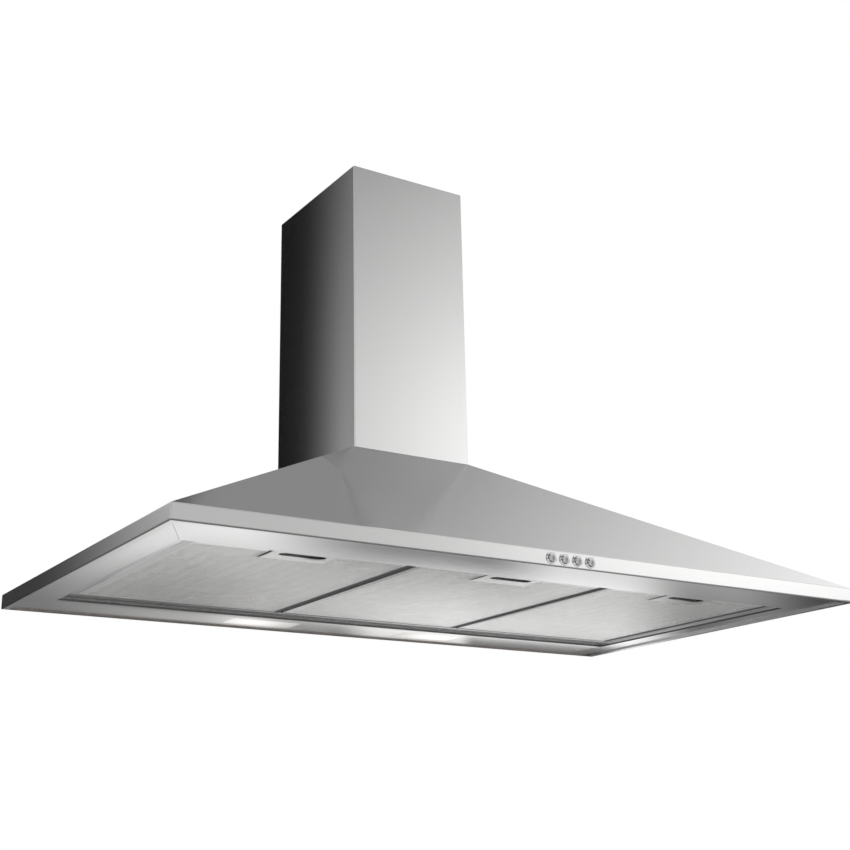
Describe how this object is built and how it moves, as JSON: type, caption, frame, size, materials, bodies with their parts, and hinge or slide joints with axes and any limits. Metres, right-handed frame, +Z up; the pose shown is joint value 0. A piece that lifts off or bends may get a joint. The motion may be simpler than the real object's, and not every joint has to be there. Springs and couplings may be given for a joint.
{
  "type": "range hood",
  "caption": "Wall-hung pyramid range hood with a square telescopic chimney, drop-down grease filters, sprung push buttons, two lamps and a centrifugal fan inside.",
  "frame": {"origin": "on the wall plane, at the middle of the hood's lower edge", "axes": "+X to the right seen from the front, +Y into the wall, +Z up"},
  "size_m": [0.9, 0.5145, 0.591],
  "materials": {
    "stainless": "fine brushed",
    "galvanised": "spangled zinc",
    "frosted_glass": "frosted",
    "lit_glass": "opal",
    "ceramic": "glazed",
    "zinc_screw": "zinc plated",
    "dark_enamel": "satin",
    "black_plastic": "matt",
    "white_plastic": "smooth",
    "chrome": "polished",
    "aluminium_sheet": "satin",
    "aluminium_mesh": "expanded mesh",
    "spring_steel": "plain"
  },
  "bodies": {
    "hood": {"canopy_skin": "stainless", "tray_frame": "stainless", "lamp_panel": "stainless", "chimney_lower_cover": "stainless", "rear_panel": "galvanised", "filter_rails": "galvanised", "blower_deck": "galvanised", "scroll_housing": "galvanised", "scroll_inlet_wall": "galvanised", "inlet_ring": "galvanised", "motor_plate": "galvanised", "collar_base": "galvanised", "outlet_collar": "galvanised", "lamp_housings": "galvanised", "lamp_lens_left": "frosted_glass", "lamp_lens_right": "frosted_glass", "lamp_bulb_left": "lit_glass", "lamp_bulb_right": "lit_glass", "lamp_sockets": "ceramic", "lamp_panel_screws": "zinc_screw", "motor_screws": "zinc_screw", "blower_screws": "zinc_screw", "flap_pin": "zinc_screw", "motor": "dark_enamel", "switch_block": "black_plastic", "cable_gland": "black_plastic", "junction_box": "black_plastic", "junction_lid": "black_plastic", "capacitor": "white_plastic", "button_bezels": "chrome"},
    "upper_chimney": {"chimney_upper_cover": "stainless", "ceiling_bracket": "galvanised", "bracket_rivets": "zinc_screw"},
    "fan": {"impeller": "galvanised", "impeller_nut": "zinc_screw", "motor_shaft": "zinc_screw"},
    "left_flap": {"flap_left": "black_plastic"},
    "right_flap": {"flap_right": "black_plastic"},
    "button_body_1": {"button_1": "chrome"},
    "button_body_2": {"button_2": "chrome"},
    "button_body_3": {"button_3": "chrome"},
    "button_body_4": {"button_4": "chrome"},
    "filter_left": {"filter_left_frame": "aluminium_sheet", "filter_left_mesh": "aluminium_mesh", "filter_left_handle": "aluminium_sheet"},
    "latch_left": {"filter_left_latch": "spring_steel"},
    "filter_middle": {"filter_middle_frame": "aluminium_sheet", "filter_middle_mesh": "aluminium_mesh", "filter_middle_handle": "aluminium_sheet"},
    "latch_middle": {"filter_middle_latch": "spring_steel"},
    "filter_right": {"filter_right_frame": "aluminium_sheet", "filter_right_mesh": "aluminium_mesh", "filter_right_handle": "aluminium_sheet"},
    "latch_right": {"filter_right_latch": "spring_steel"}
  },
  "joints": [
    {"name": "chimney_slide", "type": "slide", "parent": "hood", "child": "upper_chimney", "axis": [0, 0, 1], "range_m": [0, 0.29]},
    {"name": "fan_spin", "type": "hinge", "parent": "hood", "child": "fan", "pos_m": [0, -0.098, 0.108], "axis": [1, 0, 0], "continuous": true},
    {"name": "left_flap_hinge", "type": "hinge", "parent": "hood", "child": "left_flap", "pos_m": [0, -0.12, 0.2414], "axis": [0, 1, 0], "range_deg": [0, 70]},
    {"name": "right_flap_hinge", "type": "hinge", "parent": "hood", "child": "right_flap", "pos_m": [0, -0.12, 0.2414], "axis": [0, -1, 0], "range_deg": [0, 70]},
    {"name": "button_1_press", "type": "slide", "parent": "hood", "child": "button_body_1", "axis": [0, 1, 0], "range_m": [0, 0.003], "stiffness_N_per_m": 400, "springref_m": -0.002},
    {"name": "button_2_press", "type": "slide", "parent": "hood", "child": "button_body_2", "axis": [0, 1, 0], "range_m": [0, 0.003], "stiffness_N_per_m": 400, "springref_m": -0.002},
    {"name": "button_3_press", "type": "slide", "parent": "hood", "child": "button_body_3", "axis": [0, 1, 0], "range_m": [0, 0.003], "stiffness_N_per_m": 400, "springref_m": -0.002},
    {"name": "button_4_press", "type": "slide", "parent": "hood", "child": "button_body_4", "axis": [0, 1, 0], "range_m": [0, 0.003], "stiffness_N_per_m": 400, "springref_m": -0.002},
    {"name": "filter_left_hinge", "type": "hinge", "parent": "hood", "child": "filter_left", "pos_m": [-0.264, -0.0995, 0.007], "axis": [1, 0, 0], "range_deg": [0, 70]},
    {"name": "latch_left_slide", "type": "slide", "parent": "filter_left", "child": "latch_left", "axis": [0, 1, 0], "range_m": [0, 0.006], "stiffness_N_per_m": 500, "springref_m": -0.002},
    {"name": "filter_middle_hinge", "type": "hinge", "parent": "hood", "child": "filter_middle", "pos_m": [0, -0.0995, 0.007], "axis": [1, 0, 0], "range_deg": [0, 70]},
    {"name": "latch_middle_slide", "type": "slide", "parent": "filter_middle", "child": "latch_middle", "axis": [0, 1, 0], "range_m": [0, 0.006], "stiffness_N_per_m": 500, "springref_m": -0.002},
    {"name": "filter_right_hinge", "type": "hinge", "parent": "hood", "child": "filter_right", "pos_m": [0.264, -0.0995, 0.007], "axis": [1, 0, 0], "range_deg": [0, 70]},
    {"name": "latch_right_slide", "type": "slide", "parent": "filter_right", "child": "latch_right", "axis": [0, 1, 0], "range_m": [0, 0.006], "stiffness_N_per_m": 500, "springref_m": -0.002}
  ]
}
